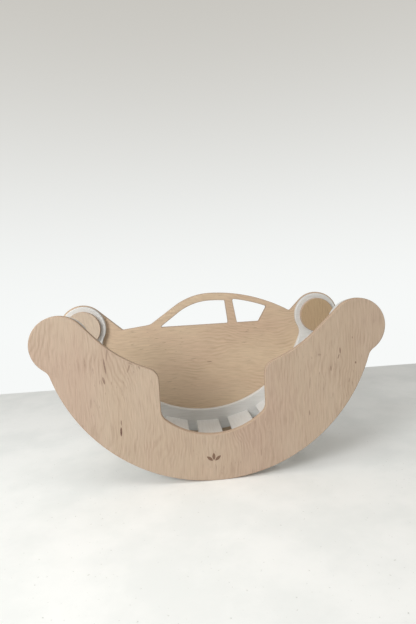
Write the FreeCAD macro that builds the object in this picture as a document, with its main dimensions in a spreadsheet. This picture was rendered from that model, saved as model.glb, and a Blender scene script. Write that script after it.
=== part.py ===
import FreeCAD, Part
import math
import os

import Sketcher

Vector = FreeCAD.Vector
Rotation = FreeCAD.Rotation
Placement = FreeCAD.Placement

# A plywood rocking car that a small child sits in. +X runs along its length, +Z is up, and -Y is the
# side with the door. The origin is on the floor, under the middle of the rocking edge.

SIZES = {
    # whole rocker
    "overall_width": 400,
    "sheet": 18,
    # rocking edge and the round ends, which both side panels share
    "rocker_radius": 470,
    "lobe_reach": 418.5,
    "lobe_height": 416.5,
    "lobe_radius": 80.5,
    "neck_radius": 35,
    "panel_round": 2.5,
    # door cut-out
    "door_centre": -6,
    "door_half_width": 149,
    "door_top_corner": 38,
    "door_low_corner": 35,
    "door_sill_radius": 209,
    "door_sill_height": 344,
    "shoulder_centre": -4,
    "shoulder_radius": 370,
    "shoulder_reach": 48,
    "shoulder_height": 683,
    # car roof and its windows
    "roof_peak": 33,
    "roof_height": 515.8,
    "roof_front_radius": 225,
    "roof_rear_radius": 560,
    "windscreen_angle": 34.5,
    "cowl_radius": 40,
    "bonnet_angle": 6.7,
    "bonnet_height": 403,
    "front_slope_angle": 41.6,
    "rear_slope_angle": 45,
    "notch_radius": 8,
    "window_sill": 403.5,
    "window_corner": 5,
    "front_window_inset": 26.5,
    "front_window_angle": 35.8,
    "front_window_tip": 2.5,
    "front_window_end": 94.5,
    "front_pillar_lean": 6,
    "rear_window_inset": 19.5,
    "rear_window_start": 126.5,
    "rear_pillar_lean": 9.2,
    "rear_window_end": 208,
    "rear_window_rake": 30.6,
    # ribs
    "rib_inner_radius": 372,
    "rib_outer_radius": 450,
    "head_reach": 414,
    "head_height": 417,
    "head_radius": 76.5,
    "rib_outer_neck_radius": 30,
    "rib_inner_neck_radius": 43,
    "rib_round": 3,
    # slats
    "slat_count": 9,
    "slat_pitch": 15.4,
    "slat_width": 80,
    "slat_thick": 18,
    "slat_top_radius": 410,
    "slat_round": 4,
    # discs and dowels
    "disc_radius": 60,
    "disc_thick": 15,
    "disc_round": 2,
    "dowel_radius": 4,
    "dowel_depth": 11,
    "dowel_spread": 25,
    # countersunk screws
    "screw_radius": 2,
    "screw_head_radius": 4,
    "screw_head_depth": 2.5,
    "screw_tip": 4,
    "slat_screw_length": 50,
    "slat_screw_spread": 50,
    "panel_screw_length": 30,
    "panel_screw_ring": 437,
    "head_screw_ring": 42,
    # engraved leaf mark
    "mark_height": 56,
    "mark_centre": -14,
    "leaf_stem": 4,
    "leaf_length": 22,
    "leaf_radius": 16,
    "engraving": 0.5,
}

doc = FreeCAD.newDocument("rocking_car")
sheet = doc.addObject("Spreadsheet::Sheet", "sizes")
for row, (alias, number) in enumerate(SIZES.items(), start=1):
    sheet.set(f"A{row}", alias.replace("_", " "))
    sheet.set(f"B{row}", str(number))
    sheet.setAlias(f"B{row}", alias)
doc.recompute()


def cell(alias):
    """The number in one cell of the sheet."""
    return float(getattr(sheet, alias))


class Outline:
    """A closed run of arcs and lines in one sketch. The ends are drawn roughly in place, and the
    constraints bring them to their true places, tangent to each other."""

    def __init__(self, sketch):
        self.sketch = sketch
        self.pieces = []

    def arc(self, centre, radius, first, last):
        """An arc from angle first to angle last, in degrees, clockwise where last is less."""
        low, high = sorted((first, last))
        circle = Part.Circle(Vector(centre[0], centre[1], 0), Vector(0, 0, 1), radius)
        piece = Part.ArcOfCircle(circle, math.radians(low), math.radians(high))
        number = self.sketch.addGeometry(piece, False)
        ends = (1, 2) if last > first else (2, 1)
        self.pieces.append((number, *ends))
        return number

    def line(self, start, end):
        number = self.sketch.addGeometry(Part.LineSegment(Vector(*start, 0), Vector(*end, 0)), False)
        self.pieces.append((number, 1, 2))
        return number

    def tie(self, kind, formula, *points):
        """One dimension, bound to a formula of the sheet's cells."""
        rough = self.measure(kind, points)
        index = self.sketch.addConstraint(Sketcher.Constraint(kind, *points, rough))
        self.sketch.setExpression(f"Constraints[{index}]", formula)

    def measure(self, kind, points):
        if kind == "Radius":
            return self.sketch.Geometry[points[0]].Radius
        if kind == "Angle":
            line = self.sketch.Geometry[points[0]]
            way = line.EndPoint - line.StartPoint
            return math.atan2(way.y, way.x)
        place = self.sketch.getPoint(*points[2:])
        return place.x if kind == "DistanceX" else place.y

    def radius(self, number, formula):
        self.tie("Radius", formula, number)

    def across(self, number, end, formula):
        """The place of a point along the sketch's first axis."""
        self.tie("DistanceX", formula, -1, 1, number, end)

    def up(self, number, end, formula):
        """The place of a point along the sketch's second axis."""
        self.tie("DistanceY", formula, -1, 1, number, end)

    def turn(self, number, degrees):
        """The direction of a line, from its start to its end."""
        self.tie("Angle", f"({degrees}) * 1 deg", number)

    def close(self):
        """Joins each piece to the next, tangent."""
        for here, there in zip(self.pieces, self.pieces[1:] + self.pieces[:1]):
            self.sketch.addConstraint(Sketcher.Constraint("Tangent", here[0], here[2], there[0], there[1]))


def new_body(label):
    body = doc.addObject("PartDesign::Body", label)
    body.Label = label
    return body


def new_sketch(body, name, forward=None):
    """A sketch on the body's upright lengthwise plane, or a formula's distance towards -Y from it."""
    sketch = body.newObject("Sketcher::SketchObject", name)
    plane = next(f for f in body.Origin.OriginFeatures if f.Role == "XZ_Plane")
    sketch.AttachmentSupport = (plane, [""])
    sketch.MapMode = "FlatFace"
    if forward:
        sketch.setExpression("AttachmentOffset.Base.z", forward)
    return sketch


def pad(body, sketch, length):
    """Grows the sketch towards -Y."""
    feature = body.newObject("PartDesign::Pad", sketch.Name + "_pad")
    feature.Profile = sketch
    feature.setExpression("Length", length)
    doc.recompute()
    return feature


def pocket(body, sketch, depth=None):
    """Cuts the sketch out: to a depth towards +Y, or right through."""
    before = body.Shape.Volume
    feature = body.newObject("PartDesign::Pocket", sketch.Name + "_cut")
    feature.Profile = sketch
    if depth:
        feature.setExpression("Length", depth)
    else:
        feature.Type = "ThroughAll"
        feature.Midplane = True
    doc.recompute()
    if body.Shape.Volume >= before:
        raise RuntimeError(feature.Name + " cuts nothing")
    return feature


def ease(body, feature, radius, lengthwise=False):
    """Rounds every edge of the feature's two flat faces, or the edges that join those faces."""
    names = []
    for number, edge in enumerate(feature.Shape.Edges, start=1):
        joins = edge.BoundBox.YLength > 1e-3
        if joins == lengthwise:
            names.append(f"Edge{number}")
    fillet = body.newObject("PartDesign::Fillet", feature.Name + "_eased")
    fillet.Base = (feature, names)
    fillet.setExpression("Radius", radius)
    doc.recompute()
    return fillet


def place(thing, across=None, along=None, up=None, tilt=None):
    """Puts a thing where the formulas say, turned about the rocker's crosswise axis."""
    if tilt:
        thing.Placement = Placement(Vector(), Rotation(Vector(0, 1, 0), 1))
        thing.setExpression(".Placement.Rotation.Angle", f"({tilt}) * 1 deg")
    for axis, formula in (("x", along), ("y", across), ("z", up)):
        if formula:
            thing.setExpression(f".Placement.Base.{axis}", formula)


def rocker_ends(outline, side):
    """The neck and the round end on one side, +1 or -1, in the order in which the run meets them."""
    reach, height = side * cell("lobe_reach"), cell("lobe_height")
    sign = "" if side > 0 else "-"
    if side > 0:
        neck = outline.arc((reach + 63, height - 96), cell("neck_radius"), 163, 124)
        lobe = outline.arc((reach, height), cell("lobe_radius"), -56, 135)
    else:
        lobe = outline.arc((reach, height), cell("lobe_radius"), 45, 236)
        neck = outline.arc((reach - 63, height - 96), cell("neck_radius"), 56, 17)
    outline.radius(neck, "sizes.neck_radius")
    outline.radius(lobe, "sizes.lobe_radius")
    outline.across(lobe, 3, f"{sign}sizes.lobe_reach")
    outline.up(lobe, 3, "sizes.lobe_height")


def rocking_edge(outline):
    edge = outline.arc((0, cell("rocker_radius")), cell("rocker_radius"), 197, 343)
    outline.radius(edge, "sizes.rocker_radius")
    outline.across(edge, 3, "0 * sizes.rocker_radius")
    outline.up(edge, 3, "sizes.rocker_radius")


def door_cut(outline):
    """The two sloping shoulders and the door between them, from right to left."""
    middle, half = cell("door_centre"), cell("door_half_width")
    shoulders, reach = cell("shoulder_centre"), cell("shoulder_reach")
    height, radius = cell("shoulder_height"), cell("shoulder_radius")
    upper, lower = cell("door_top_corner"), cell("door_low_corner")
    outline.line((360, 473), (305, 418))
    right = outline.arc((shoulders + reach, height), radius, -45, -68)
    top = outline.arc((middle + half + upper, 298), upper, 112, 180)
    jamb = outline.line((middle + half, 300), (middle + half, 215))
    low = outline.arc((middle + half - lower, 215), lower, 0, -40)
    sill = outline.arc((middle, cell("door_sill_height")), cell("door_sill_radius"), -40, -140)
    low_left = outline.arc((middle - half + lower, 215), lower, -140, -180)
    jamb_left = outline.line((middle - half, 215), (middle - half, 300))
    top_left = outline.arc((middle - half - upper, 298), upper, 0, 68)
    left = outline.arc((shoulders - reach, height), radius, -112, -135)
    outline.line((-305, 418), (-360, 473))

    for number, sign in ((right, "+"), (left, "-")):
        outline.radius(number, "sizes.shoulder_radius")
        outline.across(number, 3, f"sizes.shoulder_centre {sign} sizes.shoulder_reach")
        outline.up(number, 3, "sizes.shoulder_height")
    for number in (top, top_left):
        outline.radius(number, "sizes.door_top_corner")
    for number, sign in ((jamb, "+"), (jamb_left, "-")):
        outline.sketch.addConstraint(Sketcher.Constraint("Vertical", number))
        outline.across(number, 1, f"sizes.door_centre {sign} sizes.door_half_width")
    for number in (low, low_left):
        outline.radius(number, "sizes.door_low_corner")
    outline.radius(sill, "sizes.door_sill_radius")
    outline.across(sill, 3, "sizes.door_centre")
    outline.up(sill, 3, "sizes.door_sill_height")


def car_cut(outline):
    """The rear slope, the roof, windscreen and bonnet, and the front slope, from right to left."""
    peak, top = cell("roof_peak"), cell("roof_height")
    rear_slope = outline.line((362, 473), (330, 442))
    rear_notch = outline.arc((323, 444), cell("notch_radius"), -45, -121)
    rear_roof = outline.arc((peak, top - cell("roof_rear_radius")), cell("roof_rear_radius"), 59, 90)
    front_roof = outline.arc((peak, top - cell("roof_front_radius")), cell("roof_front_radius"), 90, 124)
    windscreen = outline.line((-94, 476), (-180, 417))
    cowl = outline.arc((-200, 450), cell("cowl_radius"), -55, -83)
    bonnet = outline.line((-196, 412), (-277, cell("bonnet_height")))
    front_notch = outline.arc((-279, 411), cell("notch_radius"), -83, -138)
    front_slope = outline.line((-284, 405), (-365, 476))

    for roof, radius in ((rear_roof, "roof_rear_radius"), (front_roof, "roof_front_radius")):
        outline.radius(roof, f"sizes.{radius}")
        outline.across(roof, 3, "sizes.roof_peak")
    outline.up(rear_roof, 3, "sizes.roof_height - sizes.roof_rear_radius")
    for notch in (rear_notch, front_notch):
        outline.radius(notch, "sizes.notch_radius")
    outline.radius(cowl, "sizes.cowl_radius")
    outline.up(bonnet, 2, "sizes.bonnet_height")
    outline.turn(rear_slope, "sizes.rear_slope_angle - 180")
    outline.turn(windscreen, "sizes.windscreen_angle - 180")
    outline.turn(bonnet, "sizes.bonnet_angle - 180")
    outline.turn(front_slope, "180 - sizes.front_slope_angle")


def front_window(outline):
    """From the sill's front corner, anticlockwise."""
    peak, top = cell("roof_peak"), cell("roof_height")
    inset, corner, sill_height = cell("front_window_inset"), cell("window_corner"), cell("window_sill")
    end = cell("front_window_end")
    sill = outline.line((-136, sill_height), (end - 5, sill_height))
    low_corner = outline.arc((end - 5, sill_height + 5), corner, -90, 6)
    pillar = outline.line((end, sill_height + 6), (end - 8, 482))
    top_corner = outline.arc((end - 13, 483), corner, 6, 84)
    rear_radius, front_radius = cell("roof_rear_radius"), cell("roof_front_radius")
    rear_top = outline.arc((peak, top - rear_radius), rear_radius - inset, 84, 90)
    front_top = outline.arc((peak, top - front_radius), front_radius - inset, 90, 126)
    edge = outline.line((-87, 452), (-143, 410))
    tip = outline.arc((-141, sill_height + 2.5), cell("front_window_tip"), 126, 270)
    outline.sketch.addConstraint(Sketcher.Constraint("Horizontal", sill))
    outline.up(sill, 1, "sizes.window_sill")
    for arc in (low_corner, top_corner):
        outline.radius(arc, "sizes.window_corner")
    outline.radius(tip, "sizes.front_window_tip")
    outline.turn(pillar, "90 + sizes.front_pillar_lean")
    outline.across(pillar, 1, "sizes.front_window_end")
    outline.radius(rear_top, "sizes.roof_rear_radius - sizes.front_window_inset")
    outline.radius(front_top, "sizes.roof_front_radius - sizes.front_window_inset")
    outline.across(rear_top, 3, "sizes.roof_peak")
    outline.across(front_top, 3, "sizes.roof_peak")
    outline.up(rear_top, 3, "sizes.roof_height - sizes.roof_rear_radius")
    outline.turn(edge, "sizes.front_window_angle - 180")


def rear_window(outline):
    """From the sill's front corner, anticlockwise."""
    peak, top = cell("roof_peak"), cell("roof_height")
    corner, sill_height = cell("window_corner"), cell("window_sill")
    start, end = cell("rear_window_start"), cell("rear_window_end")
    sill = outline.line((start + 5, sill_height), (end - 4, sill_height))
    low_corner = outline.arc((end - 4, sill_height + 5), corner, -90, -31)
    edge = outline.line((end, sill_height + 3), (237, 452))
    top_corner = outline.arc((233, 455), corner, -31, 68)
    roof = outline.arc((peak, top - cell("roof_rear_radius")), cell("roof_rear_radius") - 20, 68, 81)
    front_corner = outline.arc((120, 481), corner, 81, 171)
    pillar = outline.line((115, 481), (start, sill_height + 6))
    sill_corner = outline.arc((start + 5, sill_height + 5), corner, 171, 270)
    outline.sketch.addConstraint(Sketcher.Constraint("Horizontal", sill))
    outline.up(sill, 1, "sizes.window_sill")
    for arc in (low_corner, top_corner, front_corner, sill_corner):
        outline.radius(arc, "sizes.window_corner")
    outline.turn(edge, "90 - sizes.rear_window_rake")
    outline.across(edge, 1, "sizes.rear_window_end")
    outline.radius(roof, "sizes.roof_rear_radius - sizes.rear_window_inset")
    outline.across(roof, 3, "sizes.roof_peak")
    outline.up(roof, 3, "sizes.roof_height - sizes.roof_rear_radius")
    outline.turn(pillar, "sizes.rear_pillar_lean - 90")
    outline.across(pillar, 2, "sizes.rear_window_start")


def rib_outline(outline):
    """A crescent between two arcs, with a round head at each end."""
    reach, height, radius = cell("head_reach"), cell("head_height"), cell("head_radius")
    middle = cell("rocker_radius")
    outer = outline.arc((0, middle), cell("rib_outer_radius"), 197, 343)
    outer_neck = outline.arc((462, 326), cell("rib_outer_neck_radius"), 163, 118)
    head = outline.arc((reach, height), radius, -62, 209)
    inner_neck = outline.arc((310, 359), cell("rib_inner_neck_radius"), 29, -20)
    inner = outline.arc((0, middle), cell("rib_inner_radius"), -20, -160)
    left_neck = outline.arc((-310, 359), cell("rib_inner_neck_radius"), -160, -209)
    left_head = outline.arc((-reach, height), radius, -29, 242)
    left_outer_neck = outline.arc((-462, 326), cell("rib_outer_neck_radius"), 62, 17)
    for arc, size in ((outer, "rib_outer_radius"), (inner, "rib_inner_radius")):
        outline.radius(arc, f"sizes.{size}")
        outline.across(arc, 3, "0 * sizes.rocker_radius")
        outline.up(arc, 3, "sizes.rocker_radius")
    for arc in (outer_neck, left_outer_neck):
        outline.radius(arc, "sizes.rib_outer_neck_radius")
    for arc in (inner_neck, left_neck):
        outline.radius(arc, "sizes.rib_inner_neck_radius")
    for arc, sign in ((head, ""), (left_head, "-")):
        outline.radius(arc, "sizes.head_radius")
        outline.across(arc, 3, f"{sign}sizes.head_reach")
        outline.up(arc, 3, "sizes.head_height")


def leaf_mark(sketch):
    """Three small leaves that spread from one stem, cut as outlines of two arcs each."""
    for lean in (-50, 0, 50):
        outline = Outline(sketch)
        side, rise = math.sin(math.radians(lean)), math.cos(math.radians(lean))
        near, far = cell("leaf_stem"), cell("leaf_stem") + cell("leaf_length")
        middle = (near + far) / 2
        x, y = cell("mark_centre"), cell("mark_height")
        bow = math.sqrt(cell("leaf_radius") ** 2 - (cell("leaf_length") / 2) ** 2)
        spread = math.degrees(math.asin(cell("leaf_length") / 2 / cell("leaf_radius")))
        for turn in (1, -1):
            centre = (x + middle * side + turn * bow * rise, y + middle * rise - turn * bow * side)
            facing = -lean + (180 if turn > 0 else 0)
            outline.arc(centre, cell("leaf_radius"), facing - spread, facing + spread)
        first, second = (piece[0] for piece in outline.pieces)
        join = sketch.addConstraint
        join(Sketcher.Constraint("Coincident", first, 1, second, 2))
        join(Sketcher.Constraint("Coincident", first, 2, second, 1))
        for arc in (first, second):
            outline.radius(arc, "sizes.leaf_radius")
        for end, length in ((2, "sizes.leaf_stem"), (1, "(sizes.leaf_stem + sizes.leaf_length)")):
            outline.across(first, end, f"sizes.mark_centre + {length} * sin({lean} deg)")
            outline.up(first, end, f"sizes.mark_height + {length} * cos({lean} deg)")


def outlined(body, name, *steps):
    """A sketch of one closed run, drawn by the steps in turn."""
    sketch = new_sketch(body, name)
    outline = Outline(sketch)
    for step in steps:
        step(outline)
    outline.close()
    return sketch


def panel(name, cut):
    """One side panel: the rocking edge, the two round ends, and its own top edge between them."""
    body = new_body(name + "_blank")
    right, left = (lambda outline: rocker_ends(outline, 1)), (lambda outline: rocker_ends(outline, -1))
    return body, pad(body, outlined(body, name + "_outline", rocking_edge, right, cut, left), "sizes.sheet")


def rib(name, across):
    body = new_body(name + "_blank")
    ease(body, pad(body, outlined(body, name + "_outline", rib_outline), "sizes.sheet"), "sizes.rib_round")
    place(body, across)
    return body


def slat(number):
    """A board across the rocker, square to the middle of the rocking edge's arc."""
    body = new_body(f"slat_{number}_blank")
    sketch = new_sketch(body, f"slat_{number}_section")
    half, thick = cell("slat_width") / 2, cell("slat_thick")
    corners = [(-half, -thick), (half, -thick), (half, 0), (-half, 0)]
    for start, end in zip(corners, corners[1:] + corners[:1]):
        sketch.addGeometry(Part.LineSegment(Vector(*start, 0), Vector(*end, 0)), False)
    for side in range(4):
        sketch.addConstraint(Sketcher.Constraint("Coincident", side, 2, (side + 1) % 4, 1))
        sketch.addConstraint(Sketcher.Constraint("Vertical" if side % 2 else "Horizontal", side))
    outline = Outline(sketch)
    outline.across(0, 1, "-sizes.slat_width / 2")
    outline.across(0, 2, "sizes.slat_width / 2")
    outline.up(0, 1, "-sizes.slat_thick")
    outline.up(2, 1, "0 * sizes.slat_thick")
    board = pad(body, sketch, "sizes.overall_width - 4 * sizes.sheet")
    ease(body, board, "sizes.slat_round", lengthwise=True)
    turn = f"({number} - (sizes.slat_count + 1) / 2) * sizes.slat_pitch"
    reach = f"sizes.slat_top_radius * sin(({turn}) * 1 deg)"
    height = f"sizes.rocker_radius - sizes.slat_top_radius * cos(({turn}) * 1 deg)"
    place(body, "sizes.overall_width / 2 - 2 * sizes.sheet", reach, height, f"-({turn})")
    return body


def disc(name, across, sign):
    body = new_body(name + "_blank")
    sketch = new_sketch(body, name + "_outline")
    circle = sketch.addGeometry(Part.Circle(Vector(), Vector(0, 0, 1), cell("disc_radius")), False)
    outline = Outline(sketch)
    outline.radius(circle, "sizes.disc_radius")
    sketch.addConstraint(Sketcher.Constraint("Coincident", circle, 3, -1, 1))
    ease(body, pad(body, sketch, "sizes.disc_thick"), "sizes.disc_round")
    place(body, across, f"{sign}sizes.head_reach", "sizes.head_height")
    return body


def screw(name, length):
    """A countersunk wood screw that points along +Z from its flat head, with a hexagon socket."""
    head = doc.addObject("Part::Cone", name + "_head")
    head.setExpression("Radius1", "sizes.screw_head_radius")
    head.setExpression("Radius2", "sizes.screw_radius")
    head.setExpression("Height", "sizes.screw_head_depth")
    shank = doc.addObject("Part::Cylinder", name + "_shank")
    shank.setExpression("Radius", "sizes.screw_radius")
    shank.setExpression("Height", f"{length} - sizes.screw_tip")
    tip = doc.addObject("Part::Cone", name + "_tip")
    tip.setExpression("Radius1", "sizes.screw_radius")
    tip.setExpression("Radius2", "sizes.screw_radius / 4")
    tip.setExpression("Height", "sizes.screw_tip")
    tip.setExpression(".Placement.Base.z", f"{length} - sizes.screw_tip")
    whole = doc.addObject("Part::MultiFuse", name + "_whole")
    whole.Shapes = [head, shank, tip]
    whole.Refine = True
    socket = doc.addObject("Part::Prism", name + "_socket")
    socket.Polygon = 6
    socket.setExpression("Circumradius", "sizes.screw_radius * 0.75")
    socket.setExpression("Height", "sizes.screw_head_depth * 0.7")
    driven = doc.addObject("Part::Cut", name + "_driven")
    driven.Base, driven.Tool = whole, socket
    return whole, driven


def dowel():
    pin = doc.addObject("Part::Cylinder", "dowel")
    pin.setExpression("Radius", "sizes.dowel_radius")
    pin.setExpression("Height", "2 * sizes.dowel_depth")
    return pin


def group(label, solid, places):
    """Copies of one solid, all in one object; each place is a point and the way the solid's Z points."""
    doc.recompute()
    copies = []
    for point, way in places:
        copy = solid.Shape.copy()
        copy.Placement = Placement(Vector(*point), Rotation(Vector(0, 0, 1), Vector(0, way, 0)))
        copies.append(copy)
    feature = doc.addObject("Part::Feature", label)
    feature.Label = label
    feature.Shape = Part.makeCompound(copies)
    return feature


def drilled(label, blank, *tools):
    """The blank with the holes that its screws and dowels fill."""
    tool = tools[0]
    if len(tools) > 1:
        tool = doc.addObject("Part::Compound", label + "_holes")
        tool.Links = list(tools)
    piece = doc.addObject("Part::Cut", label)
    piece.Label = label
    piece.Base, piece.Tool = blank, tool
    return piece


# Where the screws and dowels go. Rib faces are measured from the middle of the rocker.
rib_outside = cell("overall_width") / 2 - cell("sheet")
rib_inside = rib_outside - cell("sheet")
middle_height = cell("rocker_radius")
slat_numbers = range(1, int(cell("slat_count")) + 1)


def slat_turn(number):
    return math.radians((number - (cell("slat_count") + 1) / 2) * cell("slat_pitch"))


def ring_point(radius, turn, shift=0):
    """A point at a radius from the arc's middle, and then shifted square to that radius."""
    x = radius * math.sin(turn) + shift * math.cos(turn)
    z = middle_height - radius * math.cos(turn) + shift * math.sin(turn)
    return x, z


slat_screw_points = [
    ring_point(cell("slat_top_radius") + cell("slat_thick") / 2, slat_turn(number), shift)
    for number in slat_numbers
    for shift in (-cell("slat_screw_spread") / 2, cell("slat_screw_spread") / 2)
]
heads = [(side * cell("head_reach"), cell("head_height")) for side in (-1, 1)]
panel_screw_points = [
    ring_point(cell("panel_screw_ring"), slat_turn(number))
    for number in slat_numbers[::2]
]
ring = cell("head_screw_ring")
panel_screw_points += [
    (x + ring * math.cos(math.radians(turn)), z + ring * math.sin(math.radians(turn)))
    for x, z in heads
    for turn in (90, 210, 330)
]
dowel_points = [(x + shift, z) for x, z in heads for shift in (-cell("dowel_spread"), cell("dowel_spread"))]

slat_screw = screw("slat_screw", "sizes.slat_screw_length")
panel_screw = screw("panel_screw", "sizes.panel_screw_length")
disc_dowel = dowel()

parts = []
slat_holes = []
for name, side in (("door_side", -1), ("car_side", 1)):
    outwards, inwards = side, -side
    slat_places = [((x, side * rib_outside, z), inwards) for x, z in slat_screw_points]
    panel_places = [((x, side * rib_inside, z), outwards) for x, z in panel_screw_points]
    dowel_places = [((x, side * (rib_inside - cell("dowel_depth")), z), outwards) for x, z in dowel_points]
    slat_hole = group(name + "_slat_screw_holes", slat_screw[0], slat_places)
    panel_hole = group(name + "_panel_screw_holes", panel_screw[0], panel_places)
    parts.append(group(name + "_slat_screws", slat_screw[1], slat_places))
    parts.append(group(name + "_panel_screws", panel_screw[1], panel_places))
    dowels = group(name + "_disc_dowels", disc_dowel, dowel_places)
    parts.append(dowels)
    slat_holes.append(slat_hole)

    near = "-(sizes.overall_width / 2 - {0} * sizes.sheet{1})"
    far = "sizes.overall_width / 2 - {0} * sizes.sheet{1}"
    faces = {
        "panel": near.format(1, "") if side < 0 else far.format(0, ""),
        "rib": near.format(2, "") if side < 0 else far.format(1, ""),
        "disc": near.format(2, " - sizes.disc_thick") if side < 0 else far.format(2, ""),
    }
    if side < 0:
        blank, flat = panel(name + "_panel", door_cut)
        ease(blank, flat, "sizes.panel_round")
        mark = new_sketch(blank, "leaf_mark", "sizes.sheet")
        leaf_mark(mark)
        pocket(blank, mark, "sizes.engraving")
    else:
        blank, flat = panel(name + "_panel", car_cut)
        pocket(blank, outlined(blank, "front_window", front_window))
        flat = pocket(blank, outlined(blank, "rear_window", rear_window))
        ease(blank, flat, "sizes.panel_round")
    place(blank, faces["panel"])
    parts.append(drilled(name + "_panel", blank, panel_hole))
    parts.append(drilled(name + "_rib", rib(name + "_rib", faces["rib"]), slat_hole, panel_hole, dowels))
    for end, sign in (("left", "-"), ("right", "")):
        label = f"{name}_disc_{end}"
        parts.append(drilled(label, disc(label, faces["disc"], sign), dowels))

for number in slat_numbers:
    parts.append(drilled(f"slat_{number}", slat(number), *slat_holes))

doc.recompute()
for thing in doc.Objects:
    if "Invalid" in thing.State or "Error" in thing.State:
        raise RuntimeError(f"{thing.Label} did not build: {thing.State}")
for piece in parts:
    if piece.Shape.isNull() or not piece.Shape.isValid() or piece.Shape.Volume <= 0:
        raise RuntimeError(f"{piece.Label} has no sound shape")

os.makedirs("parts", exist_ok=True)
for piece in parts:
    piece.Shape.exportStep(f"parts/{piece.Label}.step")
    box = piece.Shape.optimalBoundingBox()
    spans = ((box.XMin, box.XMax), (box.YMin, box.YMax), (box.ZMin, box.ZMax))
    print(f"{piece.Label:26s} {len(piece.Shape.Solids):2d} solids {piece.Shape.Volume / 1000:9.1f} cm3",
          *(f"{low:.1f}..{high:.1f}" for low, high in spans))
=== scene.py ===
import math

import bmesh
import bpy
from mathutils import Matrix, Vector


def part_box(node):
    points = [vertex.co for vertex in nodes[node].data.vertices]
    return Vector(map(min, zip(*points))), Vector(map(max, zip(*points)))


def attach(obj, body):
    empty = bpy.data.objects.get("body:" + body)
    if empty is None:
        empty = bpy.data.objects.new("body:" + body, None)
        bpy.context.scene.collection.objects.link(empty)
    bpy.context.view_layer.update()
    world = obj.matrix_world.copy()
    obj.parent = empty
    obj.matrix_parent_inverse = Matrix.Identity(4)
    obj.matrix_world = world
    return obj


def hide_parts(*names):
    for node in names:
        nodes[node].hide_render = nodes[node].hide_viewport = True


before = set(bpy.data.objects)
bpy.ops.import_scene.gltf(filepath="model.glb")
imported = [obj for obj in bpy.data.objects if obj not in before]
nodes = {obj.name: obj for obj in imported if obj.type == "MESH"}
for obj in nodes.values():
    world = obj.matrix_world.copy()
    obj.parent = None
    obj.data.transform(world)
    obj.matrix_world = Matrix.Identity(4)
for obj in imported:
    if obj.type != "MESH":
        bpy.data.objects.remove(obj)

scene = bpy.context.scene
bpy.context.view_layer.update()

# ---- Studio ------------------------------------------------------------------------------------
# A pale concrete floor that ends a little behind the rocker, in front of a pale background. Most of
# the daylight is soft and comes from a large window high on the left. A little comes from above, and
# from a small window on the right.


class Socket:
    """An output socket. Sums, products and the like of it add Math nodes to its tree."""

    def __init__(self, tree, output):
        self.tree = tree
        self.output = output

    def math(self, operation, *values):
        return self.tree.node("ShaderNodeMath", {"operation": operation}, dict(enumerate(values)))

    def __add__(self, other):
        return self.math("ADD", self, other)

    def __sub__(self, other):
        return self.math("SUBTRACT", self, other)

    def __rsub__(self, other):
        return self.math("SUBTRACT", other, self)

    def __mul__(self, other):
        return self.math("MULTIPLY", self, other)

    def __truediv__(self, other):
        return self.math("DIVIDE", self, other)

    def __mod__(self, other):
        return self.math("FLOORED_MODULO", self, other)

    def __abs__(self):
        return self.math("ABSOLUTE", self)

    __radd__ = __add__
    __rmul__ = __mul__

    def over(self, low, high):
        """0 below low and 1 above high, or the other way round where high is less than low."""
        sockets = {0: self, 1: low, 2: high}
        return self.tree.node("ShaderNodeMapRange", {"interpolation_type": "SMOOTHSTEP"}, sockets)


class Tree:
    """A node tree that is filled by one method."""

    def __init__(self, node_tree):
        self.nodes = node_tree.nodes
        self.links = node_tree.links

    def node(self, kind, settings=None, sockets=None, output=0):
        made = self.nodes.new(kind)
        for name, value in (settings or {}).items():
            setattr(made, name, value)
        for key, value in (sockets or {}).items():
            if isinstance(value, Socket):
                self.links.new(value.output, made.inputs[key])
            else:
                made.inputs[key].default_value = value
        return Socket(self, made.outputs[output]) if len(made.outputs) else None


def rgb(red, green, blue):
    """A colour given in display units of 0 to 255, as the renderer counts light."""
    light = [((part / 255 + 0.055) / 1.055) ** 2.4 for part in (red, green, blue)]
    return (*light, 1)


class Finish(Tree):
    """A material made from a Principled shader and patterns on Object coordinates."""

    def __init__(self, name):
        self.material = bpy.data.materials.new(name)
        self.material.use_nodes = True
        super().__init__(self.material.node_tree)
        self.nodes.clear()
        place = self.node("ShaderNodeTexCoord", output="Object")
        self.x, self.y, self.z = (
            self.node("ShaderNodeSeparateXYZ", sockets={0: place}, output=axis) for axis in range(3)
        )

    def noise(self, x, y, z, detail=2.0, roughness=0.5):
        """Soft noise from 0 to 1, by three numbers that say where in it to look."""
        where = self.node("ShaderNodeCombineXYZ", sockets={0: x, 1: y, 2: z})
        sockets = {"Vector": where, "Scale": 1.0, "Detail": detail, "Roughness": roughness}
        return self.node("ShaderNodeTexNoise", sockets=sockets)

    def blend(self, under, over, share, way="MIX"):
        """Puts one colour over another, by a share from 0 to 1."""
        settings = {"data_type": "RGBA", "blend_type": way}
        return self.node("ShaderNodeMix", settings, {0: share, 6: under, 7: over}, output=2)

    def grey(self, value):
        """A number as a colour, so that it can brighten or darken another one."""
        return self.node("ShaderNodeCombineColor", sockets={0: value, 1: value, 2: value})

    def close(self, colour, roughness, height, relief, **fixed):
        """Joins the patterns to the shader. Relief is the depth, in metres, of a height of 1."""
        bumps = {"Strength": 1.0, "Distance": relief, "Height": height}
        bump = self.node("ShaderNodeBump", sockets=bumps)
        sockets = {"Base Color": colour, "Roughness": roughness, "Normal": bump}
        sockets.update({name.replace("_", " "): value for name, value in fixed.items()})
        shader = self.node("ShaderNodeBsdfPrincipled", sockets=sockets)
        self.node("ShaderNodeOutputMaterial", sockets={"Surface": shader})
        return self.material


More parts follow.
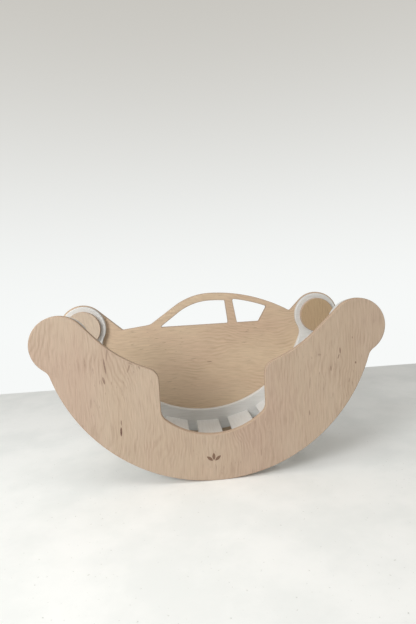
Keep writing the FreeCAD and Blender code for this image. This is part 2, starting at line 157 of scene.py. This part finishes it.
def concrete():
    """Ground and sealed concrete, nearly white, with faint clouds and a few small pits."""
    finish = Finish("pale_concrete")
    clouds = finish.noise(finish.x * 3.5, finish.y * 3.5, finish.z, detail=6.0, roughness=0.62)
    pits = finish.noise(finish.x * 130, finish.y * 130, finish.z, detail=4.0).over(0.67, 0.74)
    colour = finish.blend(rgb(242, 244, 242), rgb(250, 251, 249), clouds.over(0.36, 0.62))
    colour = finish.blend(colour, rgb(196, 197, 191), pits * 0.6)
    return finish.close(colour, 0.55 + clouds * 0.2, clouds - pits * 0.4, 0.0006, Specular_IOR_Level=0.3)


floor_left, floor_right = -4.0, 4.0
floor_front, floor_back = -4.0, 1.04
corners = [(x, y, 0) for y in (floor_front, floor_back) for x in (floor_left, floor_right)]
floor_mesh = bpy.data.meshes.new("floor")
floor_mesh.from_pydata(corners, [], [(0, 1, 3, 2)])
floor_mesh.materials.append(concrete())
floor = bpy.data.objects.new("floor", floor_mesh)
scene.collection.objects.link(floor)


def soft_light(name, place, aim, width, height, watts, colour):
    """A rectangular lamp at a place, turned towards the point it is aimed at."""
    light = bpy.data.lights.new(name, "AREA")
    light.shape = "RECTANGLE"
    light.size, light.size_y = width, height
    light.energy = watts
    light.color = colour
    lamp = bpy.data.objects.new(name, light)
    facing = (Vector(aim) - Vector(place)).to_track_quat("-Z", "Y")
    lamp.matrix_world = Matrix.Translation(place) @ facing.to_matrix().to_4x4()
    scene.collection.objects.link(lamp)


seat_middle, under_seat = (0.0, 0.0, 0.25), (0.0, 0.0, 0.0)
cool_light, warm_light, late_light = (0.98, 0.99, 0.995), (1.0, 0.985, 0.95), (1.0, 0.96, 0.89)
soft_light("window_left", (-2.5, -2.8, 2.0), seat_middle, 1.5, 1.5, 110, cool_light)
soft_light("sky_above", (-0.8, -0.8, 2.5), under_seat, 1.4, 1.4, 14, warm_light)
soft_light("window_right", (2.7, -1.5, 1.2), seat_middle, 0.6, 0.8, 5, late_light)

world = bpy.data.worlds.new("pale_room")
scene.world = world
world.use_nodes = True
world.node_tree.nodes.clear()
room = Tree(world.node_tree)
seen = room.node("ShaderNodeLightPath", output="Is Camera Ray")
direction = room.node("ShaderNodeTexCoord", output="Generated")
upward = room.node("ShaderNodeSeparateXYZ", sockets={0: direction}, output=2)
# Camera rays see a painted backdrop: pale low down, with painted shade that greys it higher up.
wall = {0: upward.over(-0.12, 0.62), 6: rgb(247, 249, 248), 7: rgb(196, 193, 186)}
wall = room.node("ShaderNodeMix", {"data_type": "RGBA"}, wall, output=2)
shown = room.node("ShaderNodeBackground", sockets={"Color": wall, "Strength": 1.0})
bounced, ceiling = 0.06, 0.5
glow = upward.over(0.0, 0.9) * ceiling + bounced
lighting = room.node("ShaderNodeBackground", sockets={"Color": (*warm_light, 1), "Strength": glow})
mixed = room.node("ShaderNodeMixShader", sockets={0: seen, 1: lighting, 2: shown})
room.node("ShaderNodeOutputWorld", sockets={"Surface": mixed})
scene.view_settings.view_transform = "Standard"

eye = Vector((-0.1187, -1.4781, 0.6009))
turned_right, tipped_down, leaned = 4.92, 5.24, 3.1
camera = bpy.data.objects.new("camera", bpy.data.cameras.new("camera"))
camera.data.lens = 26.93
camera.matrix_world = (
    Matrix.Translation(eye)
    @ Matrix.Rotation(math.radians(-turned_right), 4, "Z")
    @ Matrix.Rotation(math.radians(90 - tipped_down), 4, "X")
    @ Matrix.Rotation(math.radians(-leaned), 4, "Z")
)
scene.collection.objects.link(camera)
scene.camera = camera

# ---- Side panels -------------------------------------------------------------------------------
# Two 18 mm sheets of birch plywood, sawn to an arc, eased along every edge and lacquered clear and
# matt. The door side's grain stands upright and the car side's lies lengthwise. The door side has
# three small leaves burnt half a millimetre into it.

ply_count = 13
tan, cream, rose = rgb(210, 188, 162), rgb(218, 198, 174), rgb(207, 180, 158)
ring_brown, streak_brown, mineral_brown = rgb(166, 136, 112), rgb(160, 130, 108), rgb(92, 58, 47)
side_grain, end_grain, glue_and_shade_brown = rgb(202, 180, 158), rgb(176, 149, 125), rgb(130, 102, 82)


def veneer(finish, across, along, seed, tint, wave=0.05, flame=14.0, figure=1.0):
    """The face of a rotary-cut sheet: slow bands, flame lines, wavy streaks, fibres and dark ticks.
    Gives its colour, darkened by a tint, and its height."""
    swirl = finish.noise(across * 2.4, along * 1.3, seed) - 0.5
    ripple = finish.noise(across * 30, along * 16, seed + 1, detail=2.0) - 0.5
    bent = across + swirl * wave + ripple * 0.007
    bands = finish.noise(bent * 11, along * 1.5, seed + 3, detail=4.0)
    glow = finish.noise(bent * 4.5, along * 2.2, seed + 5, detail=3.0)
    colour = finish.blend(tan, cream, bands.over(0.38, 0.72) * 0.5)
    colour = finish.blend(colour, rose, glow.over(0.4, 0.68) * 0.7)
    rings = (bent * 84 + swirl * flame + glow * 12 + ripple * 1.4) % 1
    clear = finish.noise(across * 9, along * 6, seed + 15).over(0.36, 0.66)
    lines = (1 - abs(rings * 2 - 1)).over(0.2, 1.0) * clear
    colour = finish.blend(colour, ring_brown, lines * (0.3 * figure))
    streaks = finish.noise(bent * 260, along * 15, seed + 7, detail=4.0, roughness=0.6)
    colour = finish.blend(colour, streak_brown, streaks.over(0.48, 0.72) * (0.32 * figure))
    colour = finish.blend(colour, cream, streaks.over(0.5, 0.3) * (0.24 * figure))
    fibres = finish.noise(bent * 520, along * 22, seed + 9, detail=3.0)
    colour = finish.blend(colour, finish.grey(0.4 + fibres * 1.2), 0.35, way="MULTIPLY")
    patches = finish.noise(across * 7, along * 5, seed + 13).over(0.46, 0.62)
    ticks = finish.noise(bent * 230, along * 34, seed + 11, detail=2.0).over(0.64, 0.72) * patches
    colour = finish.blend(colour, mineral_brown, ticks * 0.36)
    # The tint is multiplied in last; for the door side and the discs it also paints light and shade.
    colour = finish.blend(colour, tint, 1.0, way="MULTIPLY")
    return colour, fibres * 0.5 + streaks * 0.5 - ticks


def mineral_marks(finish, colour, marks):
    """Dark reddish streaks in the veneer. Each is a place, a width and a length in millimetres, a lean
    and a strength from 0 to 1."""
    ragged = finish.noise(finish.x * 420, finish.y * 90, finish.z * 80, detail=3.0, roughness=0.7)
    total = None
    for x, z, width, length, lean, strength in marks:
        right, up = finish.x * 1000 - x, finish.z * 1000 - z
        side = (right - up * lean) / width
        run = up / length
        mark = (1 - (side * side + run * run)).over(0.0, 0.6) * strength
        total = mark if total is None else total.math("MAXIMUM", total, mark)
    return finish.blend(colour, mineral_brown, total * ragged.over(0.2, 0.5))


def plies(finish, colour, depth, count):
    """Shows the sheet's layers wherever the surface cuts across them, and paints shade along the rounded
    arris. Depth runs from 0 to 1.
    """
    normal = finish.node("ShaderNodeTexCoord", output="Normal")
    facing = abs(finish.node("ShaderNodeSeparateXYZ", sockets={0: normal}, output=1))
    cut = facing.over(0.995, 0.93)
    layer = (depth * 0.998 + 0.001) * count
    crossed = (layer.math("FLOOR", layer) % 2).over(0.4, 0.6)
    within = layer % 1
    glue = abs(within - 0.5).over(0.38, 0.47)
    speckle = finish.noise(finish.x * 520, finish.y * 300, finish.z * 520, detail=3.0)
    drift = finish.noise(finish.x * 26, finish.y * 900, finish.z * 26, detail=2.0)
    layers = finish.blend(side_grain, end_grain, crossed)
    layers = finish.blend(layers, glue_and_shade_brown, speckle.over(0.5, 0.8) * (crossed * 0.45 + 0.1))
    layers = finish.blend(layers, ring_brown, drift.over(0.45, 0.7) * 0.35)
    # Dark glue lines between the plies, and painted shade: a dark band along the rounded-over arris,
    # where the edge turns into the face.
    layers = finish.blend(layers, glue_and_shade_brown, glue * 0.45 + facing.over(0.5, 0.85) * 0.35)
    return finish.blend(colour, layers, cut), cut, facing


def sheet_depth(finish, inner, thickness):
    """How far through its sheet a point is, counted away from the middle of the rocker."""
    return (abs(finish.y) - inner) / thickness


def lacquered(finish, colour, height, cut):
    """A clear matt lacquer over wood, duller where it has soaked into sawn edges."""
    patchy = finish.noise(finish.x * 9, finish.y * 9, finish.z * 9, detail=3.0)
    roughness = 0.46 + patchy * 0.1 + cut * 0.14
    return finish.close(colour, roughness, height, 0.00012, Specular_IOR_Level=0.38)


def panel_place(name):
    """The inner distance from the middle, and the thickness, of one side's sheet."""
    low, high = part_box(name)
    return min(abs(low.y), abs(high.y)), high.y - low.y


def door_side_birch():
    finish = Finish("birch_ply_upright")
    inner, thickness = panel_place("door_side_panel")
    # Painted shade: this tint darkens the door side's birch against the car side's, though both are the
    # same plywood.
    colour, height = veneer(finish, finish.x, finish.z, 4.0, rgb(226, 224, 226))
    colour = mineral_marks(finish, colour, [
        (-268, 165, 3.0, 15, 0.05, 1.0), (-266, 190, 1.6, 9, 0.0, 0.7), (-300, 352, 2.6, 26, -0.1, 0.55),
        (-305, 312, 3.4, 12, -0.2, 0.6), (-292, 385, 2.0, 24, 0.15, 0.4), (-228, 356, 7.0, 5, 0.0, 0.45),
        (-236, 341, 3.0, 14, 0.4, 0.35), (-208, 345, 2.4, 10, -0.3, 0.4), (363, 350, 1.8, 10, 0.0, 0.75),
        (358, 333, 2.0, 8, 0.3, 0.6), (335, 300, 1.6, 9, 0.0, 0.65), (408, 312, 2.4, 4, 0.0, 0.7),
        (400, 385, 1.5, 4, 0.0, 0.5), (272, 262, 1.5, 20, 0.1, 0.3), (268, 175, 1.6, 9, 0.0, 0.55),
        (302, 342, 5.5, 3.5, 0.0, 0.3), (-345, 250, 1.8, 16, 0.1, 0.25), (388, 262, 1.6, 8, 0.2, 0.4),
    ])
    colour, cut, facing = plies(finish, colour, sheet_depth(finish, inner, thickness), ply_count)
    sunk = (inner + thickness) * 1000 - abs(finish.y) * 1000
    burnt = sunk.over(0.25, 0.4) * sunk.over(0.8, 0.6) * facing.over(0.95, 0.99)
    colour = finish.blend(colour, rgb(108, 76, 58), burnt * 0.85)
    return lacquered(finish, colour, height, cut)


def car_side_birch():
    finish = Finish("birch_ply_lengthwise")
    inner, thickness = panel_place("car_side_panel")
    # Painted light: this near-white tint keeps the car side lighter than the door side, whose birch is
    # the same.
    tint = rgb(252, 250, 246)
    colour, height = veneer(finish, finish.z, finish.x, 21.0, tint, wave=0.1, flame=26.0, figure=0.85)
    colour = mineral_marks(finish, colour, [
        (20, 268, 11, 1.6, 0.0, 0.6), (-38, 282, 13, 1.5, 0.0, 0.35), (-220, 330, 9, 1.4, 0.0, 0.35),
        (150, 330, 12, 1.5, 0.0, 0.3), (-130, 205, 12, 1.7, 0.0, 0.3), (238, 372, 9, 1.3, 0.0, 0.3),
    ])
    colour, cut, _ = plies(finish, colour, sheet_depth(finish, inner, thickness), ply_count)
    return lacquered(finish, colour, height, cut)


def dress(name, material):
    """Gives one of the CAD parts its finish."""
    for slot in nodes[name].material_slots:
        slot.material = material


dress("door_side_panel", door_side_birch())
dress("car_side_panel", car_side_birch())

# ---- Ribs --------------------------------------------------------------------------------------
# A crescent of 18 mm birch plywood lies flat against each panel's inner face and carries the slats.
# It is rounded over along its edges and rolled with white satin paint, which lets the grain show.

paint_white, paint_shade = rgb(218, 217, 214), rgb(195, 193, 188)


def satin_paint(name, run):
    """White satin paint over plywood, with the grain running along x or y."""
    finish = Finish(name)
    across, along = 260, 14
    x_scale, y_scale = {"x": (along, across), "y": (across, along)}[run]
    where = (finish.x * x_scale, finish.y * y_scale, finish.z * across)
    grain = finish.noise(*where, detail=4.0, roughness=0.6)
    clouds = finish.noise(finish.x * 8, finish.y * 8, finish.z * 8, detail=3.0)
    peel = finish.noise(finish.x * 900, finish.y * 900, finish.z * 900, detail=1.0)
    shade = grain.over(0.42, 0.76) * 0.42 + clouds.over(0.4, 0.8) * 0.25
    colour = finish.blend(paint_white, paint_shade, shade)
    height = grain * 0.7 + peel * 0.3
    return finish.close(colour, 0.4 + clouds * 0.12, height, 0.00016, Specular_IOR_Level=0.45)


rib_paint = satin_paint("satin_white_rib", "x")
for side in ("door_side", "car_side"):
    dress(f"{side}_rib", rib_paint)

# ---- Slats -------------------------------------------------------------------------------------
# Nine boards of the same plywood, painted white, span the ribs along an arc to make the seat.
# Their long edges are rounded over, and two screws through each rib hold each end.


class Recipe(Tree):
    """A Geometry Nodes tree with named inputs."""

    kinds = {int: "NodeSocketInt", float: "NodeSocketFloat", bpy.types.Material: "NodeSocketMaterial",
             bpy.types.Object: "NodeSocketObject"}

    def __init__(self, name, values):
        self.group = bpy.data.node_groups.new(name, "GeometryNodeTree")
        super().__init__(self.group)
        face = self.group.interface
        face.new_socket("Geometry", in_out="INPUT", socket_type="NodeSocketGeometry")
        self.values = {}
        for label, value in values.items():
            socket = face.new_socket(label, in_out="INPUT", socket_type=self.kinds[type(value)])
            self.values[socket.identifier] = value
        face.new_socket("Geometry", in_out="OUTPUT", socket_type="NodeSocketGeometry")
        self.inputs = self.nodes.new("NodeGroupInput")

    def __getitem__(self, label):
        return Socket(self, self.inputs.outputs[label])

    def finish(self, geometry):
        """Ends the tree: real faces, and their material."""
        real = self.node("GeometryNodeRealizeInstances", sockets={0: geometry})
        sockets = {"Geometry": real, "Material": self["Finish"]}
        self.node("NodeGroupOutput", sockets={0: self.node("GeometryNodeSetMaterial", sockets=sockets)})

    def make(self, name, mesh=None):
        """Runs the tree on a mesh, and keeps the result as one plain piece."""
        piece = bpy.data.objects.new(name, mesh or bpy.data.meshes.new(name))
        modifier = piece.modifiers.new("recipe", "NODES")
        modifier.node_group = self.group
        for identifier, value in self.values.items():
            modifier[identifier] = value
        scene.collection.objects.link(piece)
        graph = bpy.context.evaluated_depsgraph_get()
        result = bpy.data.meshes.new_from_object(piece.evaluated_get(graph), depsgraph=graph)
        piece.modifiers.remove(modifier)
        piece.data = result
        return piece


slat_low, slat_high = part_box("slat_5")
slat_size = slat_high - slat_low
slat_count = 9
slat_pitch = math.radians(15.4)
slat_arc = 0.41
arc_height = slat_high.z + slat_arc
slat_rounding = 0.004


def slat_recipe():
    """A board swept along y, and copies of it set at even angles round the seat's arc."""
    recipe = Recipe("slats_on_an_arc", {
        "Count": slat_count, "Pitch": slat_pitch, "Arc": slat_arc, "Height": arc_height,
        "Width": slat_size.x, "Thickness": slat_size.z, "Length": slat_size.y,
        "Rounding": slat_rounding, "Finish": satin_paint("satin_white_slat", "y"),
    })
    half = recipe["Length"] * 0.5
    start = recipe.node("ShaderNodeCombineXYZ", sockets={1: half * -1})
    end = recipe.node("ShaderNodeCombineXYZ", sockets={1: half})
    path = recipe.node("GeometryNodeCurvePrimitiveLine", sockets={"Start": start, "End": end})
    sizes = {"Width": recipe["Width"], "Height": recipe["Thickness"]}
    section = recipe.node("GeometryNodeCurvePrimitiveQuadrilateral", sockets=sizes)
    rounding = {"Curve": section, "Count": 6, "Radius": recipe["Rounding"], "Limit Radius": True}
    section = recipe.node("GeometryNodeFilletCurve", {"mode": "POLY"}, rounding)
    board = {"Curve": path, "Profile Curve": section, "Fill Caps": True}
    board = recipe.node("GeometryNodeCurveToMesh", sockets=board)
    index = recipe.node("GeometryNodeInputIndex")
    turn = (index - (recipe["Count"] - 1) * 0.5) * recipe["Pitch"]
    reach = recipe["Arc"] + recipe["Thickness"] * 0.5
    x = turn.math("SINE", turn) * reach
    z = recipe["Height"] - turn.math("COSINE", turn) * reach
    place = recipe.node("ShaderNodeCombineXYZ", sockets={0: x, 2: z})
    points = recipe.node("GeometryNodePoints", sockets={"Count": recipe["Count"], "Position": place})
    tilt = recipe.node("ShaderNodeCombineXYZ", sockets={1: turn * -1})
    sockets = {"Points": points, "Instance": board, "Rotation": tilt}
    recipe.finish(recipe.node("GeometryNodeInstanceOnPoints", sockets=sockets))
    return recipe


slats = slat_recipe().make("slats")
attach(slats, "root")
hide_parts(*(f"slat_{number}" for number in range(1, slat_count + 1)))

# ---- Discs -------------------------------------------------------------------------------------
# A round of 15 mm birch plywood, lacquered clear, sits on each rib's head and hides its three screws.
# Each is glued on over two dowels.

disc_plies = 11


def disc_birch(name, seed, tint):
    finish = Finish(name + "_birch")
    inner, thickness = panel_place(name)
    across = finish.x + finish.z * 0.12
    colour, height = veneer(finish, across, finish.z, seed, tint, wave=0.03, flame=6.0, figure=0.55)
    colour, cut, _ = plies(finish, colour, sheet_depth(finish, inner, thickness), disc_plies)
    return lacquered(finish, colour, height, cut)


disc_seed, next_disc = 40.0, 9.0
# Painted light and shade on top of each round's own tone: the left rounds are lightened and cooled, the
# right ones darkened and warmed, as the light falls from the left.
disc_tints = {"left": rgb(240, 243, 249), "right": rgb(220, 212, 195)}
for side in ("door_side", "car_side"):
    for end, tint in disc_tints.items():
        dress(f"{side}_disc_{end}", disc_birch(f"{side}_disc_{end}", disc_seed, tint))
        disc_seed += next_disc

# ---- Screws ------------------------------------------------------------------------------------
# Zinc-plated countersunk wood screws with a hexagon socket. The slats' screws go in from the ribs'
# outer faces, under the panels. The panels' screws go out from the ribs' inner faces.


def zinc():
    finish = Finish("zinc_plate")
    brushed = finish.noise(finish.x * 700, finish.y * 700, finish.z * 700, detail=3.0)
    dull = finish.noise(finish.x * 120, finish.y * 120, finish.z * 120, detail=2.0)
    colour = finish.blend(rgb(198, 199, 196), rgb(150, 151, 148), dull.over(0.4, 0.7))
    return finish.close(colour, 0.28 + brushed * 0.2, brushed, 0.00003, Metallic=1.0)


def lathe(name, rows, sides):
    """A closed turned shape about z, to copy from. Each row is a height and a radius by angle."""
    shape = bmesh.new()
    rings = []
    for height, radius in rows:
        turns = [2 * math.pi * step / sides for step in range(sides)]
        rings.append([
            shape.verts.new((radius(turn) * math.cos(turn), radius(turn) * math.sin(turn), height))
            for turn in turns
        ])
    for ring, following in zip(rings, rings[1:]):
        for step in range(sides):
            after = (step + 1) % sides
            shape.faces.new((ring[step], ring[after], following[after], following[step]))
    for ring in (rings[0], rings[-1]):
        shape.faces.new(ring)
    bmesh.ops.recalc_face_normals(shape, faces=shape.faces)
    mesh = bpy.data.meshes.new(name)
    shape.to_mesh(mesh)
    shape.free()
    template = bpy.data.objects.new(name, mesh)
    scene.collection.objects.link(template)
    return template


def evenly(radius):
    return lambda turn: radius


def hexagon(radius):
    """The radius of a hexagon at an angle, from the radius of its corners."""
    return lambda turn: radius * math.cos(math.pi / 6) / math.cos(turn % (math.pi / 3) - math.pi / 6)


def thread(core, crest, pitch, height):
    """The radius of a helical thread at a height, by angle."""
    def radius(turn):
        phase = (height / pitch - turn / (2 * math.pi)) % 1
        return core + (crest - core) * max(0.0, 1 - abs(phase - 0.5) * 3.2)
    return radius


def wood_screw(name, length):
    """A countersunk head with a recess, a plain neck, a helical thread and a point."""
    head, shank, core = 0.004, 0.002, 0.00145
    recess, recess_depth, head_depth = 0.0015, 0.00175, 0.0025
    pitch, tip, point = 0.0016, 0.004, 0.0003
    thread_start = length * 0.4
    rows = [
        (recess_depth, evenly(recess * 0.3)), (recess_depth, hexagon(recess)), (0.0, hexagon(recess)),
        (0.0, evenly(head * 0.96)), (head * 0.04, evenly(head)), (head_depth, evenly(shank)),
        (thread_start, evenly(shank)),
    ]
    step = pitch / 4
    height = thread_start + step
    while height < length - tip - step / 2:
        rows.append((height, thread(core, shank, pitch, height)))
        height += step
    rows += [
        (length - tip, evenly(core)), (length - tip * 0.4, evenly(core * 0.6)), (length, evenly(point)),
    ]
    return lathe(name, rows, 18)


def set_in_wood(name, template, places, way, material):
    """Copies of a template, one on each point, with its z turned to point along y or against it."""
    recipe = Recipe(name + "_recipe", {"Fitting": template, "Way": float(way), "Finish": material})
    sockets = {"Object": recipe["Fitting"]}
    settings = {"transform_space": "ORIGINAL"}
    fitting = recipe.node("GeometryNodeObjectInfo", settings, sockets, output="Geometry")
    facing = recipe.node("ShaderNodeCombineXYZ", sockets={0: recipe["Way"] * (-math.pi / 2)})
    points = recipe.node("GeometryNodeMeshToPoints", sockets={"Mesh": recipe["Geometry"]})
    sockets = {"Points": points, "Instance": fitting, "Rotation": facing}
    placed = recipe.node("GeometryNodeInstanceOnPoints", sockets=sockets)
    any_angle = recipe.node("FunctionNodeRandomValue", sockets={3: 2 * math.pi, "Seed": 7}, output=1)
    spin = recipe.node("ShaderNodeCombineXYZ", sockets={2: any_angle})
    sockets = {"Instances": placed, "Rotation": spin, "Local Space": True}
    recipe.finish(recipe.node("GeometryNodeRotateInstances", sockets=sockets))
    seats = bpy.data.meshes.new(name)
    seats.from_pydata(places, [], [])
    return recipe.make(name, seats)


def on_arc(radius, turn, shift=0.0):
    """A point at a radius from the arc's middle, shifted square to it: its x and its z."""
    x = radius * math.sin(turn) + shift * math.cos(turn)
    z = arc_height - radius * math.cos(turn) + shift * math.sin(turn)
    return x, z


slat_screw_spread = 0.05
panel_screw_arc = 0.437
head_screw_ring, head_screw_turns = 0.042, (90, 210, 330)
slat_turns = [(number - (slat_count - 1) / 2) * slat_pitch for number in range(slat_count)]
slat_screw_points = [
    on_arc(slat_arc + slat_size.z / 2, turn, shift)
    for turn in slat_turns
    for shift in (-slat_screw_spread / 2, slat_screw_spread / 2)
]
panel_screw_points = [on_arc(panel_screw_arc, turn) for turn in slat_turns[::2]]
head_middles = []
for end in ("left", "right"):
    low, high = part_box(f"car_side_disc_{end}")
    middle = (low + high) / 2
    head_middles.append((middle.x, middle.z))
    for turn in head_screw_turns:
        x = middle.x + head_screw_ring * math.cos(math.radians(turn))
        z = middle.z + head_screw_ring * math.sin(math.radians(turn))
        panel_screw_points.append((x, z))

plate = zinc()
long_screw = wood_screw("long_screw", 0.05)
short_screw = wood_screw("short_screw", 0.03)
for side, outwards in (("door_side", -1), ("car_side", 1)):
    low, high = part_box(f"{side}_rib")
    rib_outside = outwards * max(abs(low.y), abs(high.y))
    rib_inside = outwards * min(abs(low.y), abs(high.y))
    slat_seats = [(x, rib_outside, z) for x, z in slat_screw_points]
    slat_screws = set_in_wood(f"{side}_slat_screw_set", long_screw, slat_seats, -outwards, plate)
    panel_seats = [(x, rib_inside, z) for x, z in panel_screw_points]
    panel_screws = set_in_wood(f"{side}_panel_screw_set", short_screw, panel_seats, outwards, plate)
    for screws, node in ((slat_screws, f"{side}_slat_screws"), (panel_screws, f"{side}_panel_screws")):
        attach(screws, "root")
        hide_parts(node)

# ---- Dowels ------------------------------------------------------------------------------------
# Two fluted beech dowels join each disc to its rib. Their ends are chamfered, and the flutes let the
# glue rise as the disc is pressed home.

dowel_radius, dowel_half, dowel_spread = 0.004, 0.011, 0.025
flute_count, flute_depth, dowel_chamfer = 12, 0.00025, 0.001


def beech():
    finish = Finish("beech_dowel_wood")
    rays = finish.noise(finish.x * 900, finish.y * 60, finish.z * 900, detail=2.0)
    colour = finish.blend(rgb(214, 178, 138), rgb(176, 132, 94), rays.over(0.4, 0.75))
    return finish.close(colour, 0.6 + rays * 0.1, rays, 0.00005)


def fluted_dowel():
    """Two chamfered ends with a fluted length between them, turned about z."""
    def flutes(turn):
        return dowel_radius - flute_depth * (0.5 + 0.5 * math.cos(flute_count * turn))
    narrow = dowel_radius - dowel_chamfer * 0.7
    rows = [
        (-dowel_half, evenly(narrow)), (-dowel_half + dowel_chamfer, flutes),
        (dowel_half - dowel_chamfer, flutes), (dowel_half, evenly(narrow)),
    ]
    return lathe("dowel", rows, 48)


dowel = fluted_dowel()
beech_finish = beech()
for side, outwards in (("door_side", -1), ("car_side", 1)):
    low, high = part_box(f"{side}_disc_dowels")
    middle = (low.y + high.y) / 2
    seats = [(x + shift, middle, z) for x, z in head_middles for shift in (-dowel_spread, dowel_spread)]
    dowels = set_in_wood(f"{side}_dowel_set", dowel, seats, outwards, beech_finish)
    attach(dowels, "root")
    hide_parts(f"{side}_disc_dowels")

for template in (long_screw, short_screw, dowel):
    bpy.data.objects.remove(template)
